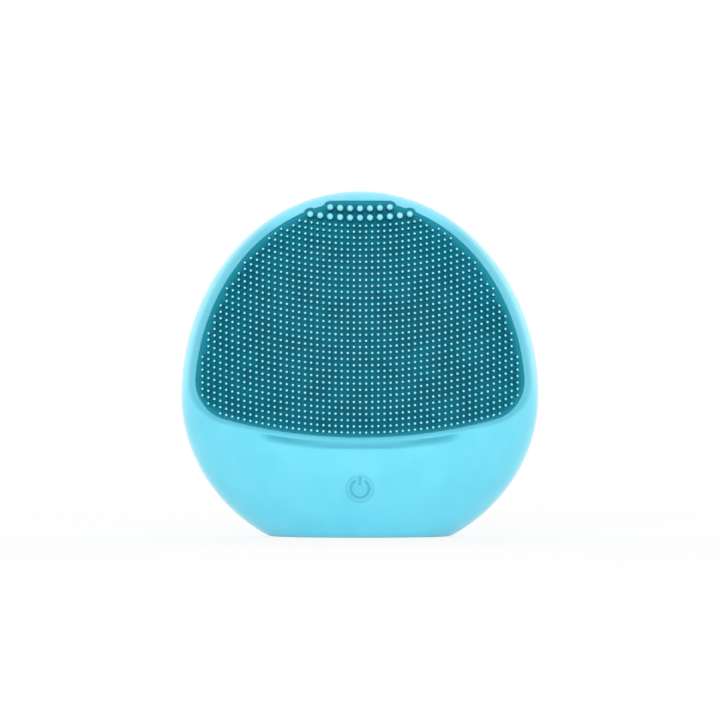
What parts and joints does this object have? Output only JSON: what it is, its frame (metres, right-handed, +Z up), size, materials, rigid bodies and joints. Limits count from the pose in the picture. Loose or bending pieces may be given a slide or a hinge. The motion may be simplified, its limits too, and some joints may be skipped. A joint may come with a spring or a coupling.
{
  "type": "facial cleansing brush",
  "caption": "Palm-sized silicone facial cleansing brush: rounded egg body with a flat base, a panel of soft bristles, a push button and a vibrating motor inside.",
  "frame": {"origin": "centre of the flat base that the brush stands on", "axes": "+Z up towards the crown, +X across the width, -Y the bristle side (front), +Y the ridged rear with the charging socket"},
  "size_m": [0.08, 0.0318, 0.0774],
  "materials": {
    "sleeve_silicone": "soft silicone, satin",
    "panel_silicone": "soft silicone, matte, darker than the sleeve",
    "bristle_silicone": "soft silicone, paler at the tips",
    "housing_abs": "moulded white plastic",
    "seal_rubber": "moulded black silicone rubber",
    "screw_steel": "zinc-plated steel",
    "board_laminate": "green glass-fibre laminate",
    "chip_black": "moulded black epoxy",
    "component_tan": "sintered ceramic chips",
    "switch_black": "moulded black nylon",
    "plunger_ivory": "moulded ivory nylon",
    "led_white": "clear epoxy over a pale chip",
    "pipe_clear": "clear moulded acrylic",
    "contact_gold": "gold-plated spring brass",
    "cell_foil": "aluminium-laminate pouch",
    "foam_white": "closed-cell foam with adhesive faces",
    "wire_red": "red wire insulation",
    "wire_blue": "blue wire insulation",
    "motor_steel": "drawn nickel-plated steel",
    "bearing_bronze": "sintered bronze",
    "magnet_grey": "bonded ferrite",
    "core_copper": "enamelled copper winding on a steel core",
    "weight_tungsten": "sintered tungsten alloy"
  },
  "bodies": {
    "root": {"silicone_sleeve": "sleeve_silicone", "bristle_pad": "panel_silicone", "fine_bristles_upper": "bristle_silicone", "fine_bristles_lower": "bristle_silicone", "thick_bristles": "bristle_silicone", "front_housing": "housing_abs", "rear_housing": "housing_abs", "housing_gasket": "seal_rubber", "housing_screws": "screw_steel", "circuit_board": "board_laminate", "board_screws": "screw_steel", "controller_chip": "chip_black", "board_components": "component_tan", "tact_switch": "switch_black", "status_led": "led_white", "light_pipe": "pipe_clear", "charge_socket": "switch_black", "socket_contact": "contact_gold", "port_seal": "seal_rubber", "battery_cell": "cell_foil", "battery_foam": "foam_white", "battery_wires": "wire_red", "motor_can": "motor_steel", "motor_end_cap": "plunger_ivory", "motor_magnet": "magnet_grey", "motor_bearings": "bearing_bronze", "motor_boot": "seal_rubber", "motor_bracket": "housing_abs", "bracket_screws": "screw_steel", "motor_wires": "wire_blue"},
    "button": {"power_button": "sleeve_silicone", "switch_plunger": "plunger_ivory"},
    "rotor": {"motor_shaft": "motor_steel", "rotor_core": "core_copper", "eccentric_weight": "weight_tungsten"}
  },
  "joints": [
    {"name": "button_press", "type": "slide", "parent": "root", "child": "button", "axis": [0, 1, 0], "range_m": [0, 0.00035], "stiffness_N_per_m": 1500, "springref_m": -0.0006},
    {"name": "motor_spin", "type": "hinge", "parent": "root", "child": "rotor", "pos_m": [0, 0, 0.05], "axis": [0, 0, 1], "continuous": true}
  ]
}
